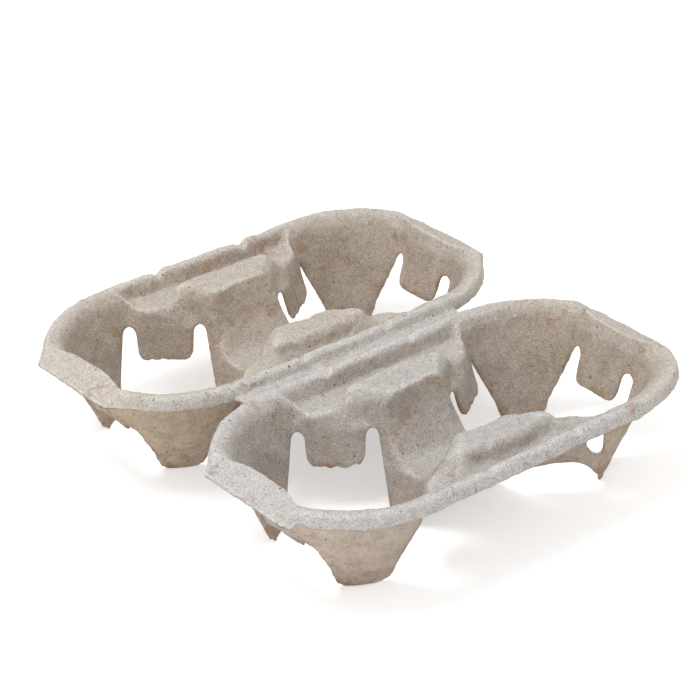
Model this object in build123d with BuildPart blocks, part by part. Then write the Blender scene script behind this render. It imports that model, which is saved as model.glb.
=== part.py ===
from build123d import *
from math import atan, cos, pi, radians, sin, sqrt, tan
import os

os.makedirs("parts", exist_ok=True)

# A four-cup carry tray moulded in one piece from paper pulp, in millimetres.
# X runs along a pair of pockets, Y across the two pairs, Z up from the table.

# Sizes that can be set by themselves
wall = 2.0                  # thickness of the moulded pulp
rim_height = 47.0           # top of the rim crest above the table
cup_spacing = 106.1         # between the two pockets of one pair
pair_spacing = 113.4        # between the centre lines of the two pairs
rim_radius = 49.6           # rim crest, round each pocket
foot_radius = 27.0          # inside of a pocket at the table
pocket_lean = 0.38          # how much a pocket's radius grows for each mm of height
flange_height = 6.5         # drop from the rim crest to the lower edge of the flange
flange_lean = 0.22          # outward slope of the flange, for each mm of drop
crest_round = 2.6           # rounding on the outer side of the rim crest

tab_foot = 22.7             # distance of a tab's face from the pocket axis at the table
tab_lean = 0.336            # how much that distance grows for each mm of height
side_tab_angle = 57.0       # the two side tabs, measured from the line between two pockets
tab_bottom = 18.0           # lower edge of the tongue of a tab
tab_half_width = 13.2       # half the width of the tongue where it leaves the wall
tab_tip_half_width = 12.2   # half the width of the tongue near its lower edge
tab_corner = 5.0            # rounding of the tongue's lower corners
cheek_angle = 17.2          # turn of the cheeks beside a tab
cheek_foot = 16.3           # distance of a cheek's plane from the pocket axis at the table
cheek_lean = 0.369          # how much that distance grows for each mm of height

window_top = 32.3           # top of the slots beside a tongue
window_foot_half = 21.2     # half width of a window near the table
window_top_half = 17.2      # half width of a window at its top
window_round = 1.5          # cut of the slots' upper corners
foot_round = 1.4            # cut of a leg's lower corners
web_low = 6.5               # one window keeps a low web of pulp: its lower edge at the leg
web_high = 15.0             # and its upper edge at the leg
slot_rise = 5.0             # the left ends keep one slot filled: how far its lower edge rises to the leg

ledge_edge = 50.8           # straight outer edge of an end, from the pocket axis
ledge_drop = 4.8            # how far the end ledge falls from the crest to that edge
ledge_half_width = 23.0     # half the length of that edge

gutter_floor = 39.5         # height of the long gutters inside the rim
gutter_inner = 40.5         # gutter floor, inner side, from the pair's centre line
gutter_outer = 44.7         # gutter floor, outer side
gutter_reach = 41.0         # half the length of the gutter floor
gutter_crest = 3.0          # rounding on the inner side of the rim crest
bridge_height = 46.0        # level tops between the two pockets of a pair
bridge_outer = 33.0         # outer edge of those tops, from the pair's centre line
bridge_inner = 20.6         # inner edge, where the saddle begins
saddle_height = 20.0        # floor of the saddle between the two pockets
saddle_half_width = 5.5     # half the width of the saddle floor
fold_round = 2.4            # easing of the tops of the folds between the pockets
side_shelf_reach = 27.0     # inner end of the shelf above a side tab, along the pair
side_shelf_inner = 37.3     # inner edge of that shelf, across the pair
side_tab_fold_x = 18.0      # fold beside the top of a side tab, at the shelf's height, along the pair
side_tab_fold_y = 29.5      # and across the pair

notch_place = 22.6          # small nicks in the long rims, from the middle of the pair
notch_width = 4.6
notch_depth = 1.3

web_thickness = 2.0         # flat web that joins the two pairs
web_half_length = 59.0

# Sizes that follow from those above
pocket_x = cup_spacing / 2
pair_y = pair_spacing / 2
flange_edge = rim_height - flange_height
lean_angle = atan(pocket_lean)
under = 4.0                 # how far the cutting shapes run past the solid
flare_drop_share = 1 - sin(lean_angle)
flare_round = ((rim_radius - foot_radius - pocket_lean * rim_height)
               / (cos(lean_angle) - pocket_lean * flare_drop_share))


def slab(skin, floor):
    """The filled outline of one pair, drawn in by skin, from floor up to the rim crest."""
    top = rim_height - crest_round
    turn = atan(flange_lean)
    small = crest_round - skin
    edge_r = rim_radius + small * cos(turn)
    edge_z = top + small * sin(turn)
    knee_z = flange_edge - under
    knee_r = edge_r + (edge_z - knee_z) * flange_lean
    mid_r = rim_radius + small * sin(radians(45))
    mid_z = top + small * cos(radians(45))
    with BuildSketch(Plane.XZ) as half:
        with BuildLine():
            Line((0, floor), (knee_r, floor))
            Line((knee_r, floor), (knee_r, knee_z))
            Line((knee_r, knee_z), (edge_r, edge_z))
            Line((edge_r, edge_z), (mid_r, mid_z))
            Line((mid_r, mid_z), (rim_radius, top + small))
            Line((rim_radius, top + small), (0, top + small))
            Line((0, top + small), (0, floor))
        make_face()
    with BuildPart() as end:
        add(half.sketch)
        revolve(axis=Axis.Z)
    with BuildSketch(Plane.YZ.offset(-pocket_x)) as across:
        with BuildLine():
            Line((0, floor), (knee_r, floor))
            Line((knee_r, floor), (knee_r, knee_z))
            Line((knee_r, knee_z), (edge_r, edge_z))
            Line((edge_r, edge_z), (mid_r, mid_z))
            Line((mid_r, mid_z), (rim_radius, top + small))
            Line((rim_radius, top + small), (0, top + small))
            Line((0, top + small), (0, floor))
        make_face()
        mirror(about=Plane.YZ)
    # the corner tips of the straight ends, as far up as the end ledge
    tip_x = pocket_x + ledge_edge - skin
    tip_y = ledge_half_width - skin
    touch = radians(47.6)
    touch_r = rim_radius + (flange_height - crest_round) * flange_lean + crest_round * cos(turn) - skin
    with BuildSketch(Plane.XY.offset(floor)) as tips:
        with BuildLine():
            Polyline(
                (0, -touch_r * sin(touch)),
                (pocket_x + touch_r * cos(touch), -touch_r * sin(touch)),
                (tip_x, -tip_y),
                (tip_x, tip_y),
                (pocket_x + touch_r * cos(touch), touch_r * sin(touch)),
                (0, touch_r * sin(touch)),
                close=True,
            )
        make_face()
        mirror(about=Plane.YZ)
    with BuildSketch(Plane.XY.offset(floor)) as frame:
        Rectangle(2 * tip_x, 4 * rim_radius)
    with BuildPart() as body:
        with Locations((pocket_x, 0), (-pocket_x, 0)):
            add(end.part)
        extrude(across.sketch, amount=2 * pocket_x)
        extrude(tips.sketch, amount=rim_height - ledge_drop - skin - floor)
        extrude(frame.sketch, amount=2 * rim_height, mode=Mode.INTERSECT)
    return body.part


def tab_block(skin, top):
    """The wedge behind one tab, left standing when a pocket is cut, toward +X."""
    grow = skin / cos(atan(tab_lean))
    side = radians(cheek_angle)
    with BuildPart() as block:
        for level in (-2 * under, top):
            face = tab_foot + tab_lean * level + grow
            cheek = cheek_foot + cheek_lean * level + grow
            corner_y = (cos(side) * face - cheek) / sin(side)
            far_x = 2 * rim_radius
            far_y = (cos(side) * far_x - cheek) / sin(side)
            with BuildSketch(Plane.XY.offset(level)):
                Polygon(
                    (face, -corner_y),
                    (far_x, -far_y),
                    (far_x, far_y),
                    (face, corner_y),
                    align=None,
                )
        loft(ruled=True)
    return block.part


def side_tab_top(skin):
    """The upper part of the wedge behind a side tab: it leans out to the shelf and to the bridge."""
    grow = skin / cos(atan(tab_lean))
    side = radians(cheek_angle)
    turn = radians(180 - side_tab_angle)
    face = tab_foot + tab_lean * window_top + grow
    cheek = cheek_foot + cheek_lean * window_top + grow
    corner_y = (cos(side) * face - cheek) / sin(side)
    edge_y = side_shelf_inner + skin
    far = 2 * rim_radius
    ways = [turn - pi / 2 + side, turn + pi / 2 - side]
    low = [(face * cos(turn) - v * sin(turn), face * sin(turn) + v * cos(turn)) for v in (-corner_y, corner_y)]
    shelf = [(gutter_reach - pocket_x + 1.5, edge_y), (side_tab_fold_x - pocket_x, side_tab_fold_y + skin)]
    # carried on past the shelf in the same straight lines, up to the roof
    far_up = rim_height + 2 * under
    go_on = (far_up - window_top) / (gutter_floor - skin - window_top)
    high = [(a + (c - a) * go_on, b + (d - b) * go_on) for (a, b), (c, d) in zip(low, shelf)]
    with BuildPart() as block:
        for level, (right, left) in ((window_top, low), (far_up, high)):
            right_far = (right[0] + far * cos(ways[0]), right[1] + far * sin(ways[0]))
            left_far = (left[0] + far * cos(ways[1]), left[1] + far * sin(ways[1]))
            with BuildSketch(Plane.XY.offset(level)):
                Polygon(right, right_far, left_far, left, align=None)
        loft(ruled=True)
    return block.part


def pocket(skin):
    """The hollow of one pocket, flared to the rim crest, with its three tabs left standing."""
    bend = flare_round - skin
    centre_z = rim_height - flare_round
    start_r = rim_radius - bend * cos(lean_angle)
    start_z = centre_z + bend * sin(lean_angle)
    half_turn = (radians(90) + lean_angle) / 2
    mid_r = rim_radius - bend * cos(half_turn)
    mid_z = centre_z + bend * sin(half_turn)
    low_r = start_r - pocket_lean * (start_z + 2 * under)
    with BuildPart() as hollow:
        with BuildSketch(Plane.XZ):
            with BuildLine():
                Line((0, -2 * under), (low_r, -2 * under))
                Line((low_r, -2 * under), (start_r, start_z))
                Line((start_r, start_z), (mid_r, mid_z))
                Line((mid_r, mid_z), (rim_radius, centre_z + bend))
                Line((rim_radius, centre_z + bend), (rim_radius, rim_height + under))
                Line((rim_radius, rim_height + under), (0, rim_height + under))
                Line((0, rim_height + under), (0, -2 * under))
            make_face()
        revolve(axis=Axis.Z)
        add(tab_block(skin, rim_height + 2 * under), mode=Mode.SUBTRACT)
        for angle in (180 - side_tab_angle, 180 + side_tab_angle):
            add(tab_block(skin, window_top), rotation=(0, 0, angle), mode=Mode.SUBTRACT)
        tab_top = side_tab_top(skin)
        add(tab_top, mode=Mode.SUBTRACT)
        add(mirror(tab_top, about=Plane.XZ, mode=Mode.PRIVATE), mode=Mode.SUBTRACT)
    return hollow.part


def folds(skin):
    """Everything above the gutters, the level bridges and the saddle between two pockets."""
    dy = rim_radius - gutter_outer
    dz = rim_height - gutter_crest - gutter_floor
    reach = sqrt(dy ** 2 + dz ** 2 - gutter_crest ** 2)
    rise = atan(dz / dy) + atan(gutter_crest / reach)
    touch = (gutter_outer + reach * cos(rise), gutter_floor + reach * sin(rise))
    middle = rise / 2
    crest_mid = (rim_radius - gutter_crest * sin(middle),
                 rim_height - gutter_crest + gutter_crest * cos(middle))
    # the saddle's sides steepen from its floor up to the bridges
    wide, high = bridge_inner - saddle_half_width, bridge_height - saddle_height
    sag = [(saddle_half_width + wide * share, saddle_height + high * (share + 1 - sqrt(1 - share ** 2)) / 2)
           for share in (0, 0.3, 0.6, 0.85, 1)]
    roof = rim_height + 2 * under
    with BuildSketch(Plane.YZ.offset(-2 * pocket_x)) as section:
        with BuildLine():
            Line((0, saddle_height), (saddle_half_width, saddle_height))
            Polyline(*sag)
            Line((bridge_inner, bridge_height), (bridge_outer, bridge_height))
            Line((bridge_outer, bridge_height), (gutter_inner, gutter_floor))
            Line((gutter_inner, gutter_floor), (gutter_outer, gutter_floor))
            Line((gutter_outer, gutter_floor), touch)
            Line(touch, crest_mid)
            Line(crest_mid, (rim_radius, rim_height))
            Line((rim_radius, rim_height), (rim_radius, roof))
            Line((rim_radius, roof), (0, roof))
            Line((0, roof), (0, saddle_height))
        make_face()
        mirror(about=Plane.YZ)
        tops = section.vertices().filter_by_position(Axis.Z, bridge_height - 0.01, bridge_height + 0.01)
        chamfer(tops, fold_round)
        if skin:
            offset(amount=skin, kind=Kind.INTERSECTION)
    slope = tan(radians(43))
    low = saddle_height - 2 * under
    with BuildSketch(Plane.XZ.offset(-2 * rim_radius)) as ends:
        Polygon(
            (-gutter_reach - skin - (low - gutter_floor) * slope, low),
            (gutter_reach + skin + (low - gutter_floor) * slope, low),
            (gutter_reach + skin + (roof + skin - gutter_floor) * slope, roof + skin),
            (-gutter_reach - skin - (roof + skin - gutter_floor) * slope, roof + skin),
            align=None,
        )
    with BuildPart() as shape:
        extrude(section.sketch, amount=4 * pocket_x)
        extrude(ends.sketch, amount=4 * rim_radius, mode=Mode.INTERSECT)
    return shape.part


def side_shelf(skin):
    """The level shelf above one side tab, open to the pocket, for the +X +Y quarter."""
    floor = gutter_floor - skin
    with BuildPart() as shape:
        for level, grow in ((floor, 0.0), (rim_height + under, rim_height + under - floor)):
            near = side_shelf_reach - skin - grow
            far = gutter_reach + skin + grow
            with BuildSketch(Plane.XY.offset(level)):
                Polygon(
                    (near, side_shelf_inner - 9 - grow),
                    (far, side_shelf_inner - 9 - grow),
                    (far, gutter_outer - 1),
                    (near, gutter_outer - 1),
                    align=None,
                )
        loft(ruled=True)
    return shape.part


def end_ledge(skin):
    """What is cut away above the sloping ledge at the +X end of a pair."""
    side = radians(cheek_angle)
    face_top = tab_foot + tab_lean * rim_height
    cheek_top = cheek_foot + cheek_lean * rim_height
    corner_top = (cos(side) * face_top - cheek_top) / sin(side)
    cheek_edge = cos(side) * ledge_edge - sin(side) * ledge_half_width
    with BuildPart() as shape:
        for level in (rim_height - 1.5 * ledge_drop, rim_height + 0.3 * ledge_drop):
            share = (rim_height - level) / ledge_drop
            face = face_top + share * (ledge_edge - face_top)
            cheek = cheek_top + share * (cheek_edge - cheek_top)
            corner_y = (cos(side) * face - cheek) / sin(side)
            far_x = 2 * rim_radius
            far_y = (cos(side) * far_x - cheek) / sin(side)
            with BuildSketch(Plane.XY.offset(level - 1.1 * skin)):
                Polygon(
                    (face + pocket_x, -corner_y),
                    (far_x + pocket_x, -far_y),
                    (far_x + pocket_x, far_y),
                    (face + pocket_x, corner_y),
                    align=None,
                )
        loft(ruled=True)
    return shape.part


def form(skin, floor):
    """The solid under the moulded surface of one pair, drawn in by skin."""
    cup = pocket(skin)
    ledge = end_ledge(skin)
    with BuildPart() as body:
        add(slab(skin, floor))
        with Locations((pocket_x, 0)):
            add(cup, mode=Mode.SUBTRACT)
        with Locations((-pocket_x, 0)):
            add(cup, rotation=(0, 0, 180), mode=Mode.SUBTRACT)
        add(folds(skin), mode=Mode.SUBTRACT)
        shelf = side_shelf(skin)
        add(shelf, mode=Mode.SUBTRACT)
        add(mirror(shelf, about=Plane.XZ, mode=Mode.PRIVATE), mode=Mode.SUBTRACT)
        add(shelf, rotation=(0, 0, 180), mode=Mode.SUBTRACT)
        add(mirror(shelf, about=Plane.YZ, mode=Mode.PRIVATE), mode=Mode.SUBTRACT)
        add(ledge, mode=Mode.SUBTRACT)
        add(ledge, rotation=(0, 0, 180), mode=Mode.SUBTRACT)
    return body.part


def window(kept):
    """One window round the hanging tongue of a tab, toward +X. Pulp is left as a low web or across one slot."""
    with BuildPart() as shape:
        with BuildSketch(Plane.YZ.offset(foot_radius - 9)):
            with BuildLine():
                Polyline(
                    (-window_foot_half - foot_round, -under),
                    (-window_foot_half - foot_round, 0),
                    (-window_foot_half, foot_round),
                    (-window_top_half, window_top),
                    (window_top_half, window_top),
                    (window_foot_half, foot_round),
                    (window_foot_half + foot_round, 0),
                    (window_foot_half + foot_round, -under),
                    close=True,
                )
            make_face()
            with BuildLine():
                Polyline(
                    (-tab_tip_half_width, tab_bottom),
                    (-tab_half_width, window_top + under),
                    (tab_half_width, window_top + under),
                    (tab_tip_half_width, tab_bottom),
                    close=True,
                )
            make_face(mode=Mode.SUBTRACT)
            if kept == "low web":
                with BuildLine():
                    Spline(
                        (window_foot_half + 2, web_low - 1),
                        (tab_half_width, web_low + 4.5),
                        (0, web_low + 6),
                        (-tab_half_width, web_low + 5),
                        (-tab_half_width - 1, tab_bottom + 2),
                    )
                    Polyline(
                        (-tab_half_width - 1, tab_bottom + 2),
                        (0, tab_bottom + 6),
                        (tab_half_width - 2, tab_bottom + 6),
                        (tab_half_width + 1, web_high + 4.5),
                        (window_foot_half + 2, web_high),
                        (window_foot_half + 2, web_low - 1),
                    )
                make_face(mode=Mode.SUBTRACT)
            if kept == "slot":
                Polygon(
                    (0, tab_bottom),
                    (window_foot_half + 2, tab_bottom + slot_rise),
                    (window_foot_half + 2, window_top + under),
                    (0, window_top + under),
                    align=None,
                    mode=Mode.SUBTRACT,
                )
        extrude(amount=rim_radius - foot_radius + 9)
        if kept == "nothing":
            low = shape.edges().filter_by(Axis.X).filter_by_position(Axis.Z, tab_bottom - 0.1, tab_bottom + 0.1)
            fillet(low, tab_corner)
        high = shape.edges().filter_by(Axis.X).filter_by_position(Axis.Z, window_top - 0.1, window_top + 0.1)
        chamfer(high, window_round)
    return shape.part


# One pair: the moulded surface less the same surface one wall further in
top_form = form(0, 0)
low_form = form(wall, -under)
filled = slab(wall, -2 * under)
openings = {kept: window(kept) for kept in ("nothing", "low web", "slot")}

with BuildPart() as outside:
    with BuildSketch(Plane.XY.offset(-1.5 * under)):
        Rectangle(4 * pocket_x, 4 * rim_radius)
    extrude(amount=flange_edge + 1.5 * under)
    add(filled, mode=Mode.SUBTRACT)

with BuildPart() as pair:
    add(top_form)
    add(low_form, mode=Mode.SUBTRACT)
    add(outside.part, mode=Mode.SUBTRACT)
    for y in (-rim_radius, rim_radius):
        for x in (-notch_place, notch_place):
            with BuildSketch(Plane.XZ.offset(-y - 4)):
                Polygon(
                    (x - notch_width / 2, rim_height + 0.2),
                    (x + notch_width / 2, rim_height + 0.2),
                    (x, rim_height - notch_depth),
                    align=None,
                )
            extrude(amount=8, mode=Mode.SUBTRACT)

# The whole tray
with BuildPart() as pulp_tray:
    with Locations((0, pair_y), (0, -pair_y)):
        add(pair.part)
    for side_x, turn in ((pocket_x, 0), (-pocket_x, 180)):
        for side_y in (pair_y, -pair_y):
            for angle in (0, 180 - side_tab_angle, 180 + side_tab_angle):
                kept = "nothing"
                if side_x < 0 and angle == 0:
                    kept = "slot"
                if side_x > 0 and side_y < 0 and angle > 180:
                    kept = "low web"
                with Locations((side_x, side_y)):
                    add(openings[kept], rotation=(0, 0, angle + turn), mode=Mode.SUBTRACT)
    with BuildSketch(Plane.XY.offset(flange_edge)):
        Rectangle(2 * web_half_length, 2 * (pair_y - rim_radius) - 3.2)
    extrude(amount=web_thickness)

pulp_tray.part.label = "pulp_tray"
print("solids", len(pulp_tray.part.solids()), "volume", round(pulp_tray.part.volume),
      "valid", pulp_tray.part.is_valid, "box", pulp_tray.part.bounding_box())
export_step(pulp_tray.part, "parts/pulp_tray.step")
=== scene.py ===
import math

import bpy
import numpy as np
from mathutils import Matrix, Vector


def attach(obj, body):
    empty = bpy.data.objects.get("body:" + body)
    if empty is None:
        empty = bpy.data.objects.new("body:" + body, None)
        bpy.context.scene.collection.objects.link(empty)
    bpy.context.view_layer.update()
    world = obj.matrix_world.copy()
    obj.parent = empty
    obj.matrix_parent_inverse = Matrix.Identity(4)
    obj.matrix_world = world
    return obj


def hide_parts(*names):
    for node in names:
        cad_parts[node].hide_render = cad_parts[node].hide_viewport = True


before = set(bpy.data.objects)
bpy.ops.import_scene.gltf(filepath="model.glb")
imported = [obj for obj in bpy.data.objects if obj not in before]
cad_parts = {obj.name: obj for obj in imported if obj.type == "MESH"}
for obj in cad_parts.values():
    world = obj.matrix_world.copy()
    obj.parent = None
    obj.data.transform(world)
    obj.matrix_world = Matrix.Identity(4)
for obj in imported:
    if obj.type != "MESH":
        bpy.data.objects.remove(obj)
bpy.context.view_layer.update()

# Sizes of the tray that the pulp's details follow, in metres
POCKET_X = 0.05305           # pocket axes, from the middle, along a pair
PAIR_Y = 0.0567              # centre line of each pair
TAB_TURN = math.radians(57)  # side tabs, from the line between two pockets
TAB_FOOT = 0.0227            # a tab's face from its pocket's axis at the table
TAB_LEAN = 0.336             # how much that grows for each unit of height
HALF_WALL = 0.001            # from a tab's face to the middle of its wall
TAB_FACE = 0.0032            # half the depth in which a point counts as on the tab
TAB_SIDE = (0.0130, 0.0146)  # where a tab ends sideways
UNDER_RIM = (0.037, 0.040)   # heights between which the pocket's wall turns into the rim

# The even skin
GRID = 0.00064               # cell of the even mesh that carries the pulp's lumps
MOST_TRIANGLES = 186000      # what the finished skin is thinned to
PASS_IN, PASS_OUT = 0.55, 0.57  # rounding: each pass toward the neighbours, and away
MELT_PULL = 0.6              # plain smoothing: pull toward the neighbours
SOFTEN_ROUNDS = 8            # rounding of all folds, the wall kept
MELT_ROUNDS = 5              # plain smoothing everywhere
CUT_ROUNDS = 12              # more at the cut edges
FOLD_ROUNDS = 40             # and most on the folds between two pockets
BULGE_ROUNDS = 5             # spreads the measure of how far an edge stands out
NEAR_ROUNDS = 45             # spreads that to the skin beside an edge
BULGE_GAIN = 9.0             # brings it to 1 at a sharp edge

# Where this tray left its drawing
LEAST_REACH = 0.02           # keeps a turn about a pocket's axis small near that axis
LEG_SHIFT = 0.0028           # right side of the near left leg
CORNER_GROWTH = 0.0023       # near right corner of the rim
FOOT_MIDDLE = 61.5           # middle of an outer leg, in degrees from the pair's line
FOOT_SPREAD = 0.24           # how much wider a foot is than drawn
WEB_DROP = 0.0042            # sweep of the low web in one near window
FOLD_FILLS = (               # place, amount and reach of the full folds beside a side tab
    ((0.0240, 0.0300, 0.0420), 0.0040, 0.0072),
    ((0.0365, 0.0335, 0.0385), 0.0024, 0.0050))
FILL_SIDEWAYS = 0.66         # shares of that amount along X and Y
FILL_UP = 0.36               # and up
CREST_LINE = 0.0335          # outer crest of a bridge, from the pair's centre line
CREST_WIDTH = 0.0032
CREST_OUT = 0.0016
CREST_UP = 0.0007
TEAR_AT = (-0.0988, -0.0852)  # tear in the flange at the near end corner
TEAR_REACH = 0.0027
TEAR_TOP = 0.0436
TEAR_LIP_AT = (-0.1008, -0.0822)  # and the lip that hangs beside it
TEAR_LIP_REACH = 0.0019
TEAR_LIP_DROP = 0.0011
DENTS_X = (-0.0226, 0.0226)  # dents in each long rim
DENT_WIDTH = 0.0019
DENT_LIP_FROM = 0.0048
DENT_LIP_WIDTH = 0.0022
DENT_LIP_SHARE = 0.25
BACK_RIM_Y = 0.09            # beyond this the dents are deep
DENT_DEEP, DENT_SHALLOW = 0.0017, 0.0008
WAVES = ((0.0013, 0.0042, 51), (0.0006, 0.0019, 52))  # tongues: height, length, seed
END_WAVES = 0.35             # share of the waves on the end tabs

# How the wet pulp has settled: height, cell and first seed of each noise
SLOW_WAVES = (0.00050, 0.026, 11)
LUMPS = ((0.00024, 0.0095, 21), (0.00018, 0.0042, 31), (0.00009, 0.0021, 41))
FOLD_LUMPS = ((0.0014, 0.0085, 41), (0.0005, 0.0038, 42))
FAR_FOLD_LUMPS = 0.3         # share of them on the folds that came out smooth
GRAIN = ((0.00011, 0.0021, 71), (0.00008, 0.0013, 72))
CALM_AT_CUT = 0.85           # how much of lumps and grain a cut edge loses

# What the shader reads off the skin
RIM_MARK = (0.0462, 0.0490)  # the rim's crest, painted paler as if lit, from a pocket's axis
LEFT_LEDGE, RIGHT_LEDGE = 1.0, 0.45  # how much of the rim's painted light the end ledges take
CONE_RADIUS = 0.036          # turns an angle round a pocket into a length

# Pulp shades as seen on screen, from 0 to 255: dark and light of each kind of face
# beside the pulp's own colour these carry painted light and shade: top and rim lighter as if lit,
# walls darker as if shaded, below brightened as if lit from the floor
PULP_AND_PAINTED_LIGHT = {
    "wall": ((168, 157, 148), (190, 180, 171)),
    "top": ((182, 177, 172), (208, 203, 199)),
    "rim": ((190, 186, 184), (217, 214, 212)),
    "below": ((206, 188, 171), (228, 211, 194)),
}
DULL_PATCH = (146, 135, 126)
# painted highlight on sharp crests turned up
CREST_HIGHLIGHT = (224, 220, 217)
WIDE_STAIN = (164, 132, 102)
FOOT_STAIN = (158, 124, 94)
EDGE_STAIN = (162, 122, 86)
LEG_STAIN = (182, 138, 98)
BLOT = (164, 128, 96)
# dark cut edges: the pulp's brown torn face, and painted shade under the flange's edge
CUT_FACE_AND_SHADE = (124, 103, 86)
PALE_FIBRE = (220, 214, 207)
DRIED_WARM = (1.02, 0.975, 0.90, 1.0)  # multiplies the far pair and the right ends
NOISES = {                   # cells per metre, detail, roughness and distortion
    "cloud": (55.0, 4.0, 0.6, 0.4),
    "patch": (170.0, 4.0, 0.65, 0.3),
    "stain": (42.0, 5.0, 0.68, 1.4),
    "streak": (75.0, 4.0, 0.7, 2.0),
    "blot": (105.0, 5.0, 0.7, 0.8),
    "pits": (1900.0, 2.0, 0.75, 0.0),
    "rough": (480.0, 4.0, 0.7, 0.0),
}
SPECKS = (                   # cells per metre, share of cells, size, shade, strength
    (62.0, 0.300, 0.038, (50, 50, 74), 0.85),
    (190.0, 0.150, 0.105, (58, 58, 68), 0.85),
    (430.0, 0.120, 0.20, (80, 76, 76), 0.8),
    (800.0, 0.140, 0.26, (100, 90, 84), 0.65),
    (260.0, 0.060, 0.18, (150, 100, 62), 0.6),
    (650.0, 0.060, 0.26, (226, 221, 215), 0.35))
LEAST_SPECK = 0.35           # size of the smallest speck, the largest being 1 more
SPECK_EDGE = 2.5             # how sharp its edge is
FIBRE_TURNS = ((0.3, 0.9, 0.2), (1.2, 0.1, 1.1), (2.2, 1.7, 0.6))  # three lays of fibre
FIBRE_STRETCH = (1.0, 0.16, 0.5)
FIBRE_EDGE = 9.0             # how thin a fibre is
FIBRES = 620.0               # cells of fibre per metre
SCREEN_PITCH = 0.00105       # wires of the mould's screen
RELIEF = 0.00070             # depth of the finest relief

# Studio
FLOOR_SIZE = 3.0             # half the floor's side
FLOOR_DROP = 0.0002
FLOOR_WHITE = 0.86
FLOOR_GLOW = 0.42            # only where it is seen directly
WORLD_LIGHT = 0.66
WORLD_GLOW = 0.34            # only where it is seen directly
LIT_POINT = (0, 0, 0.02)
LAMPS = (                    # name, place, side and watts
    ("top_light", (-0.45, 0.35, 1.4), 0.7, 11.0),
    ("front_light", (-1.3, -1.0, 0.5), 1.0, 5.8),
    ("side_light", (1.3, -0.7, 0.8), 1.0, 3.5))
CAMERA_TURN = math.radians(-40.17)
CAMERA_RISE = math.radians(29.23)
CAMERA_REACH = 1.21558
CAMERA_AIM = (0.05023, 0.0629, 0.0)
FOCAL_PIXELS = 2726.05       # focal length in pixels of a picture this wide
PHOTO_WIDTH = 700.0
FILM_WIDTH = 36.0


def lattice_noise(points, cell, seed):
    """Smooth noise from -1 to 1 at each point, with lumps about one cell across."""
    grid = points / cell + 1000.0
    base = np.floor(grid).astype(np.int64)
    part = grid - base
    ease = part * part * part * (part * (part * 6 - 15) + 10)
    total = np.zeros(len(points))
    for corner in np.ndindex(2, 2, 2):
        cell_id = base + np.array(corner)
        mixed = cell_id[:, 0] * 73856093
        mixed = mixed ^ (cell_id[:, 1] * 19349663)
        mixed = mixed ^ (cell_id[:, 2] * 83492791) ^ (seed * 2654435761)
        mixed = (mixed ^ (mixed >> 13)) * 1274126177 & 0x7FFFFFFF
        value = ((mixed ^ (mixed >> 16)) % 20011) / 10005.0 - 1.0
        weight = np.ones(len(points))
        for axis in range(3):
            weight = weight * (ease[:, axis] if corner[axis] else 1 - ease[:, axis])
        total += weight * value
    return total


def ramp(value, low, high):
    """Eased step from 0 at low to 1 at high."""
    share = np.clip((value - low) / (high - low), 0, 1)
    return share * share * (3 - 2 * share)


def fall(value, low, high):
    """Eased step from 1 at low to 0 at high."""
    return 1 - ramp(value, low, high)


def between(value, start, end):
    """Rises from 0 to 1 over the start and falls back over the end."""
    return ramp(value, *start) * fall(value, *end)


def bell(value, width):
    """1 at 0, falling off alike on both sides."""
    return np.exp(-0.5 * (value / width) ** 2)


def skin_from(source, name, kind, **settings):
    """A new mesh: the given mesh after one modifier."""
    work = bpy.data.objects.new(name + "_work", source)
    bpy.context.scene.collection.objects.link(work)
    change = work.modifiers.new("change", kind)
    for key, value in settings.items():
        setattr(change, key, value)
    depsgraph = bpy.context.evaluated_depsgraph_get()
    depsgraph.update()
    mesh = bpy.data.meshes.new_from_object(work.evaluated_get(depsgraph))
    bpy.data.objects.remove(work)
    mesh.name = name
    mesh.materials.clear()
    return mesh


def neighbours(mesh):
    """Edge ends, and how many edges meet at each vertex."""
    ends = np.empty(len(mesh.edges) * 2, dtype=np.int64)
    mesh.edges.foreach_get("vertices", ends)
    ends = ends.reshape(-1, 2)
    count = np.bincount(ends.ravel(), minlength=len(mesh.vertices)).astype(float)
    return ends, np.maximum(count, 1)


def neighbour_mean(values, ends, count):
    """Each vertex's mean of its neighbours' values."""
    total = np.zeros_like(values)
    for axis in range(values.shape[1]):
        total[:, axis] = np.bincount(ends[:, 0], values[ends[:, 1], axis], len(values))
        total[:, axis] += np.bincount(ends[:, 1], values[ends[:, 0], axis], len(values))
    return total / count[:, None]


def soften(points, ends, count, rounds):
    """Rounds the folds without shrinking the wall: each pass in is followed by a pass out."""
    for _ in range(rounds):
        points = points + PASS_IN * (neighbour_mean(points, ends, count) - points)
        points = points - PASS_OUT * (neighbour_mean(points, ends, count) - points)
    return points


def melt(points, ends, count, share, rounds):
    """Plain smoothing, as strong as the share says at each point."""
    pull = (MELT_PULL * share)[:, None]
    for _ in range(rounds):
        points = points + pull * (neighbour_mean(points, ends, count) - points)
    return points


def vertex_normals(mesh):
    """The direction that the skin faces at each vertex."""
    normals = np.empty(len(mesh.vertices) * 3)
    mesh.vertex_normals.foreach_get("vector", normals)
    return normals.reshape(-1, 3)


def write_points(mesh, points):
    """Moves the vertices to the given places."""
    mesh.vertices.foreach_set("co", points.ravel())
    mesh.update()


def quarter(points):
    """Places folded into a quarter of a pair: along from its middle, across from its line."""
    return np.abs(points[:, 0]), np.abs(np.abs(points[:, 1]) - PAIR_Y)


def beside_tab(points):
    """Distance out from the pocket's axis toward the side tab, and to the side of that tab."""
    along, across = quarter(points)
    out = (POCKET_X - along) * math.cos(TAB_TURN) + across * math.sin(TAB_TURN)
    aside = (POCKET_X - along) * math.sin(TAB_TURN) - across * math.cos(TAB_TURN)
    return out, aside


def outward(points):
    """The way along Y that leads away from a pair's centre line, 1 or -1."""
    return np.sign(np.abs(points[:, 1]) - PAIR_Y) * np.sign(points[:, 1])


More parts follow.
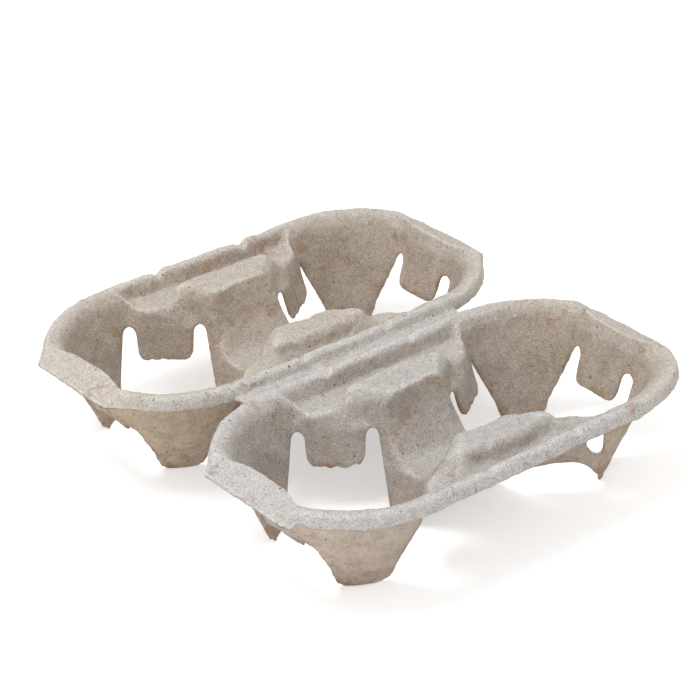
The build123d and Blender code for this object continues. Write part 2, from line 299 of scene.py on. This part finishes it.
def round_pocket(points, axis_x, axis_y):
    """Places as one pocket's axis sees them: along, across, distance and angle in degrees."""
    side_x = points[:, 0] - axis_x
    side_y = points[:, 1] - axis_y
    return side_x, side_y, np.hypot(side_x, side_y), np.degrees(np.arctan2(side_y, side_x))


def fold_share(points):
    """1 on the soft folds between two pockets, 0 on the rims and beside every cut edge."""
    along, across = quarter(points)
    out, aside = beside_tab(points)
    height = points[:, 2]
    window = fall(np.abs(aside), 0.0215, 0.0265) * fall(height, 0.0335, 0.0375)
    window = window * ramp(out, 0.018, 0.022)
    folds = fall(along, 0.040, 0.047) * fall(across, 0.0385, 0.0425)
    return folds * ramp(height, 0.012, 0.018) * (1 - window)


def tongue_share(points):
    """1 near the lower edge of a hanging tongue, on side tabs and end tabs."""
    along, across = quarter(points)
    height = points[:, 2]
    face = TAB_FOOT + TAB_LEAN * height
    out, aside = beside_tab(points)
    side_tab = np.abs(out - face - HALF_WALL) < TAB_FACE
    end_tab = np.abs(along - POCKET_X - face - HALF_WALL) < TAB_FACE
    tongue = np.maximum(side_tab * fall(np.abs(aside), *TAB_SIDE),
                        end_tab * fall(across, *TAB_SIDE))
    return tongue * between(height, (0.0145, 0.0165), (0.0185, 0.0270))


def broader_leg(points, moved):
    """The leg under the near left pocket is broader on its right side."""
    side_x, side_y, reach, angle = round_pocket(points, -POCKET_X, -PAIR_Y)
    right_side = between(angle, (-124, -101), (-74, -62))
    on_wall = between(reach, (0.022, 0.026), (0.043, 0.046))
    wide = right_side * on_wall * fall(points[:, 2], 0.026, 0.0325)
    turn = LEG_SHIFT * wide / np.maximum(reach, LEAST_REACH)
    moved[:, 0] = -POCKET_X + side_x * np.cos(turn) - side_y * np.sin(turn)
    moved[:, 1] = -PAIR_Y + side_x * np.sin(turn) + side_y * np.cos(turn)


def fuller_corner(points, moved):
    """The near right corner of the rim is fuller than a circle."""
    side_x, side_y, reach, angle = round_pocket(points, POCKET_X, -PAIR_Y)
    corner = between(angle, (-78, -48), (-42, -22))
    full = corner * ramp(reach, 0.036, 0.050) * ramp(points[:, 2], 0.018, 0.038)
    grow = CORNER_GROWTH * full / np.maximum(reach, LEAST_REACH)
    moved[:, 0] += side_x * grow
    moved[:, 1] += side_y * grow


def spread_feet(points, moved):
    """The feet of the outer legs spread a little to both sides."""
    along, across = quarter(points)
    reach = np.hypot(along - POCKET_X, across)
    angle = np.degrees(np.arctan2(across, along - POCKET_X)) - FOOT_MIDDLE
    spread = fall(np.abs(angle), 14, 24) * fall(points[:, 2], -0.006, 0.022)
    angle = np.radians(angle * (1 + FOOT_SPREAD * spread) + FOOT_MIDDLE)
    moved[:, 0] += np.sign(points[:, 0]) * (POCKET_X + reach * np.cos(angle) - along)
    moved[:, 1] += outward(points) * (reach * np.sin(angle) - across)


def swept_web(points, moved):
    """The low web in one near window sweeps down to the foot of the right leg."""
    side_x, side_y, _, _ = round_pocket(points, POCKET_X, -PAIR_Y)
    height = points[:, 2]
    out = -side_x * math.cos(TAB_TURN) - side_y * math.sin(TAB_TURN)
    aside = side_x * math.sin(TAB_TURN) - side_y * math.cos(TAB_TURN)
    right_half = between(aside, (0.0090, 0.0200), (0.0225, 0.0245)) * (side_x > -0.03)
    low_web = between(height, (0.0015, 0.0045), (0.0085, 0.0140))
    moved[:, 2] -= WEB_DROP * right_half * ramp(out, 0.012, 0.016) * low_web


def full_folds(points, moved):
    """Beside each side tab the fold runs full up to the bridge."""
    along, across = quarter(points)
    for place, amount, reach in FOLD_FILLS:
        off = np.sqrt((along - place[0]) ** 2 + (across - place[1]) ** 2
                      + (points[:, 2] - place[2]) ** 2)
        fill = amount * bell(off, reach)
        moved[:, 0] += fill * FILL_SIDEWAYS * np.sign(points[:, 0])
        moved[:, 1] -= fill * FILL_SIDEWAYS * outward(points)
        moved[:, 2] += fill * FILL_UP


def outer_crests(points, moved):
    """The bridges' outer crests stand a little further out."""
    along, across = quarter(points)
    crest = fall(along, 0.020, 0.027) * bell(across - CREST_LINE, CREST_WIDTH)
    crest = crest * ramp(points[:, 2], 0.0395, 0.0440)
    moved[:, 1] += CREST_OUT * crest * outward(points)
    moved[:, 2] += CREST_UP * crest


def torn_flange(points, moved):
    """A small tear in the flange at the near end corner, with a lip that hangs beside it."""
    height = points[:, 2]
    flange = ramp(height, 0.037, 0.039)
    off = np.hypot(points[:, 0] - TEAR_AT[0], points[:, 1] - TEAR_AT[1])
    tear = np.exp(-(off / TEAR_REACH) ** 2) * flange
    moved[:, 2] += tear * np.maximum(TEAR_TOP - height, 0)
    off = np.hypot(points[:, 0] - TEAR_LIP_AT[0], points[:, 1] - TEAR_LIP_AT[1])
    lip = TEAR_LIP_DROP * np.exp(-(off / TEAR_LIP_REACH) ** 2)
    moved[:, 2] -= lip * fall(height, 0.0415, 0.0430) * flange


def rim_dents(points, moved):
    """Two dents in each long rim, deepest at the back."""
    _, across = quarter(points)
    deep = np.where(points[:, 1] > BACK_RIM_Y, DENT_DEEP, DENT_SHALLOW)
    for place in DENTS_X:
        off = points[:, 0] - place
        long_rim = ramp(across, 0.0455, 0.0480)
        top = ramp(points[:, 2], 0.040, 0.044)
        dent = bell(off, DENT_WIDTH) * long_rim * top
        lip = bell(off - DENT_LIP_FROM, DENT_LIP_WIDTH) * long_rim * top
        moved[:, 2] += deep * (DENT_LIP_SHARE * lip - dent)


def wavy_tongues(points, moved):
    """The lower edges of the tongues are wavy."""
    along, _ = quarter(points)
    ragged = tongue_share(points) * np.where(along > POCKET_X, END_WAVES, 1.0)
    flat = points * (1, 1, 0)
    moved[:, 2] += ragged * sum(height * lattice_noise(flat, length, seed)
                                for height, length, seed in WAVES)


def hand_of_the_mould(points):
    """Where this tray left its drawing. Each change is measured on the drawn places."""
    moved = points.copy()
    for change in (broader_leg, fuller_corner, spread_feet, swept_web, full_folds,
                   outer_crests, torn_flange, rim_dents, wavy_tongues):
        change(points, moved)
    return moved


def pulp_lumps(points, calm):
    """Slow waves in the wall and lumps on the folds, less of them at cut edges."""
    moved = points.copy()
    for axis in range(3):
        height, cell, seed = SLOW_WAVES
        moved[:, axis] += height * lattice_noise(points, cell, seed + axis)
        for height, cell, seed in LUMPS:
            moved[:, axis] += calm * height * lattice_noise(points, cell, seed + axis)
    # the folds between two pockets carry bigger lumps, mostly on the near side of each pair
    along, across = quarter(points)
    side = points[:, 1]
    fold = fall(along, 0.026, 0.036) * fall(across, 0.0375, 0.042)
    fold = fold * ramp(points[:, 2], 0.030, 0.042)
    lumpy = (side < -PAIR_Y) | ((side > 0) & (side < PAIR_Y))
    fold = fold * np.where(lumpy, 1.0, FAR_FOLD_LUMPS)
    moved[:, 2] += fold * sum(height * lattice_noise(points, cell, seed)
                              for height, cell, seed in FOLD_LUMPS)
    # feet stay on the table
    foot = fall(points[:, 2], 0.0005, 0.004)
    moved[:, 2] = moved[:, 2] * (1 - foot) + points[:, 2] * foot
    return moved


def fine_grain(points, normals, calm):
    """Small pits and tufts on the skin."""
    height = sum(depth * lattice_noise(points, cell, seed) for depth, cell, seed in GRAIN)
    keep = ramp(points[:, 2], 0.0003, 0.0015)
    return points + normals * (height * keep * calm)[:, None]


def store(mesh, name, values):
    """Keeps one number for each vertex, for the shader to read."""
    layer = mesh.attributes.new(name, "FLOAT", "POINT")
    layer.data.foreach_set("value", values.astype(np.float32))


def edge_marks(mesh, points, ends, count):
    """How far each vertex stands out as an edge, and the same spread to the skin near it."""
    pull = neighbour_mean(points, ends, count) - points
    bulge = -np.einsum("ij,ij->i", pull, vertex_normals(mesh))[:, None] / GRID
    for _ in range(BULGE_ROUNDS):
        bulge = neighbour_mean(bulge, ends, count)
    edge = np.clip(bulge[:, 0] * BULGE_GAIN, 0, 1)
    near = edge[:, None]
    for _ in range(NEAR_ROUNDS):
        near = neighbour_mean(near, ends, count)
    return edge, near[:, 0]


def store_marks(mesh, points, edge, near):
    """Marks for the shader: edges, the skin near them, the rim, and the way round each cone."""
    store(mesh, "edge", edge)
    store(mesh, "near_edge", near)
    along, across = quarter(points)
    height = points[:, 2]
    reach = np.hypot(np.maximum(along - POCKET_X, 0), across)
    ledge = ramp(along, POCKET_X + 0.034, POCKET_X + 0.037) * fall(across, 0.023, 0.030)
    ledge = ledge * ramp(height, 0.039, 0.041)
    ledge = ledge * np.where(points[:, 0] < 0, LEFT_LEDGE, RIGHT_LEDGE)
    rim = np.maximum(ramp(reach, *RIM_MARK), ledge) * ramp(height, 0.036, 0.040)
    store(mesh, "rim", rim)
    axis_x = np.where(points[:, 0] > 0, POCKET_X, -POCKET_X)
    axis_y = np.where(points[:, 1] > 0, PAIR_Y, -PAIR_Y)
    turn = np.arctan2(points[:, 1] - axis_y, (points[:, 0] - axis_x) * np.sign(axis_x))
    store(mesh, "round_cone", turn * CONE_RADIUS)


def moulded_skin():
    """The tray as moulded: the CAD skin with rounded folds, lumps, grain and marks."""
    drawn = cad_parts["pulp_tray"].data.copy()
    mesh = skin_from(drawn, "even_skin", "REMESH",
                     mode="VOXEL", voxel_size=GRID, use_smooth_shade=True)
    ends, count = neighbours(mesh)
    points = np.empty(len(mesh.vertices) * 3)
    mesh.vertices.foreach_get("co", points)
    sharp = points.reshape(-1, 3)
    height = sharp[:, 2]
    points = soften(sharp, ends, count, SOFTEN_ROUNDS)
    points = melt(points, ends, count, np.ones(len(points)), MELT_ROUNDS)
    write_points(mesh, points)
    edge, near = edge_marks(mesh, points, ends, count)

    at_cut = ramp(near, 0.06, 0.28)
    below_rim = fall(height, *UNDER_RIM)
    cut_share = at_cut * below_rim * ramp(height, 0.003, 0.011)
    points = melt(points, ends, count, cut_share, CUT_ROUNDS)
    points = melt(points, ends, count, fold_share(sharp), FOLD_ROUNDS)
    foot = fall(height, 0.0004, 0.003)
    points[:, 2] = points[:, 2] * (1 - foot) + np.maximum(height, 0) * foot
    store_marks(mesh, points, edge, near)

    calm = 1 - CALM_AT_CUT * at_cut * below_rim
    points = pulp_lumps(hand_of_the_mould(points), calm)
    write_points(mesh, points)
    points = fine_grain(points, vertex_normals(mesh), calm)
    write_points(mesh, points)

    triangles = sum(len(face.vertices) - 2 for face in mesh.polygons)
    mesh = skin_from(mesh, "moulded_skin", "DECIMATE", decimate_type="COLLAPSE",
                     ratio=min(1.0, MOST_TRIANGLES / triangles))
    mesh.polygons.foreach_set("use_smooth", [True] * len(mesh.polygons))
    piece = bpy.data.objects.new("moulded_tray", mesh)
    bpy.context.scene.collection.objects.link(piece)
    return piece


def new_group(name, inputs, outputs):
    """An empty shader node group with named sockets."""
    group = bpy.data.node_groups.new(name, "ShaderNodeTree")
    for label, kind, value in inputs:
        socket = group.interface.new_socket(label, in_out="INPUT", socket_type=kind)
        if value is not None:
            socket.default_value = value
    for label, kind in outputs:
        group.interface.new_socket(label, in_out="OUTPUT", socket_type=kind)
    return group


class Nodes:
    """Short calls for building one node tree."""

    def __init__(self, tree):
        self.tree = tree

    def add(self, kind, **settings):
        """A new node with its settings."""
        node = self.tree.nodes.new(kind)
        for key, value in settings.items():
            setattr(node, key, value)
        return node

    def link(self, start, end):
        """Joins an output to an input."""
        self.tree.links.new(start, end)

    def math(self, operation, first, second=None, third=None, clamp=False):
        """One sum, on outputs or plain numbers."""
        node = self.add("ShaderNodeMath", operation=operation, use_clamp=clamp)
        for place, value in enumerate((first, second, third)):
            if value is None:
                continue
            if isinstance(value, (int, float)):
                node.inputs[place].default_value = value
            else:
                self.link(value, node.inputs[place])
        return node.outputs[0]

    def band(self, value, low, high, to_low=0.0, to_high=1.0):
        """An eased step between two values."""
        node = self.add("ShaderNodeMapRange", interpolation_type="SMOOTHSTEP")
        self.link(value, node.inputs["Value"])
        node.inputs["From Min"].default_value = low
        node.inputs["From Max"].default_value = high
        node.inputs["To Min"].default_value = to_low
        node.inputs["To Max"].default_value = to_high
        return node.outputs["Result"]

    def noise(self, vector, scale, detail, roughness, distortion):
        """Cloudy noise, from 0 to 1."""
        node = self.add("ShaderNodeTexNoise")
        self.link(vector, node.inputs["Vector"])
        node.inputs["Scale"].default_value = scale
        node.inputs["Detail"].default_value = detail
        node.inputs["Roughness"].default_value = roughness
        node.inputs["Distortion"].default_value = distortion
        return node.outputs["Fac"]

    def mix(self, share, first, second, blend="MIX"):
        """Two colours in one."""
        node = self.add("ShaderNodeMix", data_type="RGBA", blend_type=blend, clamp_factor=True)
        for place, value in ((0, share), (6, first), (7, second)):
            if isinstance(value, (int, float, tuple)):
                node.inputs[place].default_value = value
            else:
                self.link(value, node.inputs[place])
        return node.outputs[2]

    def product(self, first, second):
        """The share where both of two masks hold."""
        return self.math("MULTIPLY", first, second)

    def without(self, value):
        """What a mask leaves."""
        return self.math("SUBTRACT", 1.0, value)

    def group(self, tree, vector=None, **values):
        """A placed group with its own values."""
        node = self.add("ShaderNodeGroup", node_tree=tree)
        if vector is not None:
            self.link(vector, node.inputs["Vector"])
        for label, value in values.items():
            node.inputs[label].default_value = value
        return node


def colour(red, green, blue):
    """A colour as seen on screen, from 0 to 255, as the renderer needs it."""
    def plain(value):
        value = value / 255
        return value / 12.92 if value <= 0.04045 else ((value + 0.055) / 1.055) ** 2.4
    return (plain(red), plain(green), plain(blue), 1.0)


def speck_group():
    """Scattered specks: a mask of small dots, each with its own size."""
    group = new_group("pulp_specks",
                      [("Vector", "NodeSocketVector", None), ("Scale", "NodeSocketFloat", 300.0),
                       ("Share", "NodeSocketFloat", 0.1), ("Size", "NodeSocketFloat", 0.2)],
                      [("Mask", "NodeSocketFloat")])
    n = Nodes(group)
    given = n.add("NodeGroupInput")
    result = n.add("NodeGroupOutput")
    cells = n.add("ShaderNodeTexVoronoi", feature="F1")
    n.link(given.outputs["Vector"], cells.inputs["Vector"])
    n.link(given.outputs["Scale"], cells.inputs["Scale"])
    pick = n.add("ShaderNodeSeparateColor")
    n.link(cells.outputs["Color"], pick.inputs["Color"])
    chosen = n.math("LESS_THAN", pick.outputs["Red"], given.outputs["Share"])
    size = n.math("ADD", pick.outputs["Green"], LEAST_SPECK)
    reach = n.math("MULTIPLY", given.outputs["Size"], size)
    near = n.math("SUBTRACT", 1.0, n.math("DIVIDE", cells.outputs["Distance"], reach), clamp=True)
    mask = n.math("MULTIPLY", n.math("MULTIPLY", near, SPECK_EDGE, clamp=True), chosen)
    n.link(mask, result.inputs["Mask"])
    return group


def fibre_group():
    """Short fibres lying every way in the skin."""
    group = new_group("pulp_fibres",
                      [("Vector", "NodeSocketVector", None), ("Scale", "NodeSocketFloat", 900.0)],
                      [("Height", "NodeSocketFloat")])
    n = Nodes(group)
    given = n.add("NodeGroupInput")
    result = n.add("NodeGroupOutput")
    total = None
    for turn in FIBRE_TURNS:
        place = n.add("ShaderNodeMapping", vector_type="POINT")
        place.inputs["Rotation"].default_value = turn
        place.inputs["Scale"].default_value = FIBRE_STRETCH
        n.link(given.outputs["Vector"], place.inputs["Vector"])
        grain = n.add("ShaderNodeTexNoise")
        n.link(place.outputs["Vector"], grain.inputs["Vector"])
        n.link(given.outputs["Scale"], grain.inputs["Scale"])
        grain.inputs["Detail"].default_value = 2.0
        grain.inputs["Distortion"].default_value = 0.6
        ridge = n.math("ABSOLUTE", n.math("SUBTRACT", grain.outputs["Fac"], 0.5))
        ridge = n.math("SUBTRACT", 1.0, n.math("MULTIPLY", ridge, FIBRE_EDGE), clamp=True)
        total = ridge if total is None else n.math("MAXIMUM", total, ridge)
    n.link(total, result.inputs["Height"])
    return group


def screen_group():
    """The mark of the woven wire screen that the wet pulp was drawn against."""
    group = new_group("screen_weave",
                      [("Round", "NodeSocketFloat", 0.0), ("Height", "NodeSocketFloat", 0.0),
                       ("Pitch", "NodeSocketFloat", SCREEN_PITCH)],
                      [("Weave", "NodeSocketFloat")])
    n = Nodes(group)
    given = n.add("NodeGroupInput")
    result = n.add("NodeGroupOutput")
    waves = []
    for sign in ("ADD", "SUBTRACT"):
        along = n.math(sign, given.outputs["Round"], given.outputs["Height"])
        wires = n.math("DIVIDE", along, given.outputs["Pitch"])
        waves.append(n.math("SINE", n.math("MULTIPLY", wires, 2 * math.pi)))
    weave = n.math("MULTIPLY", waves[0], waves[1])
    n.link(n.math("MULTIPLY_ADD", weave, 0.5, 0.5), result.inputs["Weave"])
    return group


def surface_marks(n):
    """What the shader knows of each spot: place, facing, stored marks and noises."""
    place = n.add("ShaderNodeTexCoord").outputs["Object"]
    shape = n.add("ShaderNodeNewGeometry")
    facing = n.add("ShaderNodeSeparateXYZ")
    n.link(shape.outputs["Normal"], facing.inputs[0])
    spot = n.add("ShaderNodeSeparateXYZ")
    n.link(place, spot.inputs[0])
    marks = {"place": place, "up": facing.outputs["Z"],
             "x": spot.outputs["X"], "y": spot.outputs["Y"], "z": spot.outputs["Z"]}
    for name in ("edge", "near_edge", "rim", "round_cone"):
        marks[name] = n.add("ShaderNodeAttribute", attribute_name=name).outputs["Fac"]
    # the side that lay on the screen, and faces that lie flat; they also place the painted light
    # and shade of each face
    marks["under"] = n.band(marks["up"], -0.05, -0.22)
    marks["level"] = n.band(marks["up"], 0.35, 0.85)
    for name, settings in NOISES.items():
        marks[name] = n.noise(place, *settings)
    return marks


def ground_colour(n, marks):
    """Cool light grey on top, warmer on the walls, beige below, paler on rim and crests: the
    pulp's colour with painted light and shade by the way each face looks, and a painted highlight
    on crests.
    """
    def tones(name, share):
        dark, light = PULP_AND_PAINTED_LIGHT[name]
        return n.mix(share, colour(*dark), colour(*light))

    patch, cloud = marks["patch"], marks["cloud"]
    patchy = n.band(patch, 0.3, 0.7)
    # painted light and shade: faces turned up take the lighter top shade, steep faces the darker
    # wall shade
    skin = n.mix(marks["level"], tones("wall", n.band(cloud, 0.35, 0.68)), tones("top", patchy))
    # painted light from the floor: faces turned down take the brighter beige shade
    skin = n.mix(marks["under"], skin, tones("below", n.band(cloud, 0.3, 0.7)))
    # painted light: the rim, where it does not face down, takes a paler shade as if lit
    rim = n.product(marks["rim"], n.band(marks["up"], -0.3, 0.1))
    skin = n.mix(rim, skin, tones("rim", patchy))
    skin = n.mix(n.band(patch, 0.45, 0.75, 0.0, 0.45), skin, colour(*DULL_PATCH))
    # painted highlight: sharp edges on faces turned up are paled
    crest = n.product(n.band(marks["edge"], 0.12, 0.45), marks["level"])
    return n.mix(n.product(crest, 0.5), skin, colour(*CREST_HIGHLIGHT))


def stained(n, marks, skin):
    """Rusty stains: wide and faint, stronger near edges and feet, with small blots; last, dark
    cut edges, partly the pulp's torn face and partly painted shade.
    """
    patch, stain = marks["patch"], marks["stain"]
    skin = n.mix(n.band(stain, 0.58, 0.74, 0.0, 0.34), skin, colour(*WIDE_STAIN))
    low = n.band(marks["z"], 0.014, 0.0)
    at_feet = n.product(low, n.band(patch, 0.44, 0.66, 0.05, 0.6))
    skin = n.mix(at_feet, skin, colour(*FOOT_STAIN))
    steep = n.without(n.math("MAXIMUM", marks["level"], marks["rim"]))
    at_edge = n.product(n.band(marks["near_edge"], 0.08, 0.32), n.band(stain, 0.46, 0.60))
    skin = n.mix(n.product(n.product(at_edge, steep), 0.6), skin, colour(*EDGE_STAIN))
    on_legs = n.product(marks["under"], n.without(marks["rim"]))
    on_legs = n.product(on_legs, n.band(marks["streak"], 0.54, 0.66))
    skin = n.mix(n.product(on_legs, 0.38), skin, colour(*LEG_STAIN))
    skin = n.mix(n.band(marks["blot"], 0.58, 0.66, 0.0, 0.55), skin, colour(*BLOT))
    # sharp edges that do not face up are darkened: partly the brown torn face of the pulp, partly
    # painted shade under the flange's edge
    cut = n.product(n.band(marks["edge"], 0.5, 0.85), n.without(marks["level"]))
    cut = n.product(cut, n.band(patch, 0.3, 0.7, 0.35, 0.85))
    return n.mix(cut, skin, colour(*CUT_FACE_AND_SHADE))


def specked(n, marks, skin):
    """Specks of dark ink, blue-black fibre and rust."""
    specks = speck_group()
    for scale, share, size, shade, strength in SPECKS:
        dots = n.group(specks, marks["place"], Scale=scale, Share=share, Size=size)
        skin = n.mix(n.product(dots.outputs["Mask"], strength), skin, colour(*shade))
    return skin


def grained(n, marks, skin, woven):
    """The screen's weave below, a warmer cast where the tray dried last, and fine grain."""
    def times(colours, factor):
        return n.mix(1.0, colours, factor, "MULTIPLY")

    weave = n.band(woven, 0.1, 0.9, 1.10, 0.84)
    skin = n.mix(marks["under"], skin, times(skin, weave))
    warm = n.math("MAXIMUM", n.band(marks["y"], -0.012, 0.03), n.band(marks["x"], 0.03, 0.085))
    skin = n.mix(warm, skin, times(skin, DRIED_WARM))
    grain = times(skin, n.band(marks["pits"], 0.32, 0.64, 0.66, 1.14))
    skin = n.mix(n.math("MULTIPLY_ADD", marks["under"], -0.55, 1.0), skin, grain)
    return times(skin, n.band(marks["rough"], 0.30, 0.66, 0.91, 1.05))


def relief(n, marks, strands, woven):
    """Fine pits, tufts, fibres and the screen's weave, as a height."""
    height = n.math("ADD", n.product(marks["pits"], 0.5), n.product(marks["rough"], 0.8))
    height = n.math("ADD", height, n.product(strands, 0.22))
    return n.math("SUBTRACT", height, n.product(n.product(woven, marks["under"]), 0.5))


def pulp_material():
    """Grey-brown recycled pulp: mottled, specked, fibrous, with stains and the screen's mark, and
    with painted light, shade and highlights.
    """
    material = bpy.data.materials.new("moulded_pulp")
    material.use_nodes = True
    n = Nodes(material.node_tree)
    shader = material.node_tree.nodes["Principled BSDF"]
    marks = surface_marks(n)
    strands = n.group(fibre_group(), marks["place"], Scale=FIBRES).outputs["Height"]
    screen = n.group(screen_group())
    n.link(marks["round_cone"], screen.inputs["Round"])
    n.link(marks["z"], screen.inputs["Height"])
    woven = screen.outputs["Weave"]

    skin = specked(n, marks, stained(n, marks, ground_colour(n, marks)))
    skin = n.mix(n.product(strands, 0.14), skin, colour(*PALE_FIBRE))
    n.link(grained(n, marks, skin, woven), shader.inputs["Base Color"])

    bump = n.add("ShaderNodeBump")
    bump.inputs["Strength"].default_value = 0.9
    bump.inputs["Distance"].default_value = RELIEF
    n.link(relief(n, marks, strands, woven), bump.inputs["Height"])
    n.link(bump.outputs["Normal"], shader.inputs["Normal"])
    n.link(n.band(marks["rough"], 0.3, 0.7, 0.86, 0.98), shader.inputs["Roughness"])
    shader.inputs["Specular IOR Level"].default_value = 0.18
    return material


def seen_directly(n):
    """1 for rays that meet the camera straight, by a mirror or through glass."""
    path = n.add("ShaderNodeLightPath")
    seen = n.math("MAXIMUM", path.outputs["Is Camera Ray"], path.outputs["Is Glossy Ray"])
    return n.math("MAXIMUM", seen, path.outputs["Is Transmission Ray"])


def white_floor():
    """A plain pale floor that keeps the tray's shadow."""
    mesh = bpy.data.meshes.new("floor")
    side = FLOOR_SIZE
    corners = [(-side, -side, 0), (side, -side, 0), (side, side, 0), (-side, side, 0)]
    mesh.from_pydata(corners, [], [(0, 1, 2, 3)])
    floor = bpy.data.objects.new("floor", mesh)
    floor.location.z = -FLOOR_DROP
    bpy.context.scene.collection.objects.link(floor)
    cover = bpy.data.materials.new("white_floor")
    cover.use_nodes = True
    n = Nodes(cover.node_tree)
    shader = cover.node_tree.nodes["Principled BSDF"]
    shader.inputs["Base Color"].default_value = (FLOOR_WHITE, FLOOR_WHITE, FLOOR_WHITE, 1)
    shader.inputs["Roughness"].default_value = 0.9
    shader.inputs["Specular IOR Level"].default_value = 0.1
    shader.inputs["Emission Color"].default_value = (1, 1, 1, 1)
    n.link(n.product(seen_directly(n), FLOOR_GLOW), shader.inputs["Emission Strength"])
    mesh.materials.append(cover)


def studio_light():
    """Soft light from above and from both sides, in a white world."""
    world = bpy.data.worlds.new("studio")
    world.use_nodes = True
    bpy.context.scene.world = world
    n = Nodes(world.node_tree)
    backdrop = world.node_tree.nodes["Background"]
    backdrop.inputs["Color"].default_value = (1, 1, 1, 1)
    glow = n.math("MULTIPLY_ADD", seen_directly(n), WORLD_GLOW, WORLD_LIGHT)
    n.link(glow, backdrop.inputs["Strength"])
    for name, place, side, watts in LAMPS:
        lamp = bpy.data.lights.new(name, "AREA")
        lamp.size = side
        lamp.energy = watts
        holder = bpy.data.objects.new(name, lamp)
        holder.location = place
        holder.rotation_mode = "QUATERNION"
        way = Vector(LIT_POINT) - Vector(place)
        holder.rotation_quaternion = way.to_track_quat("-Z", "Y")
        bpy.context.scene.collection.objects.link(holder)


def photo_camera():
    """The camera at the photograph's place: 29 degrees up, 40 degrees round."""
    level = math.cos(CAMERA_RISE)
    back = Vector((math.sin(CAMERA_TURN) * level, -math.cos(CAMERA_TURN) * level,
                   math.sin(CAMERA_RISE)))
    lens = bpy.data.cameras.new("photo_camera")
    lens.lens = FOCAL_PIXELS * FILM_WIDTH / PHOTO_WIDTH
    lens.sensor_width = FILM_WIDTH
    lens.clip_end = 20
    camera = bpy.data.objects.new("photo_camera", lens)
    camera.location = Vector(CAMERA_AIM) + back * CAMERA_REACH
    camera.rotation_mode = "QUATERNION"
    camera.rotation_quaternion = (-back).to_track_quat("-Z", "Y")
    bpy.context.scene.collection.objects.link(camera)
    bpy.context.scene.camera = camera


bpy.context.scene.view_settings.view_transform = "Standard"
tray = moulded_skin()
tray.data.materials.append(pulp_material())
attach(tray, "root")
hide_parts("pulp_tray")
white_floor()
studio_light()
photo_camera()
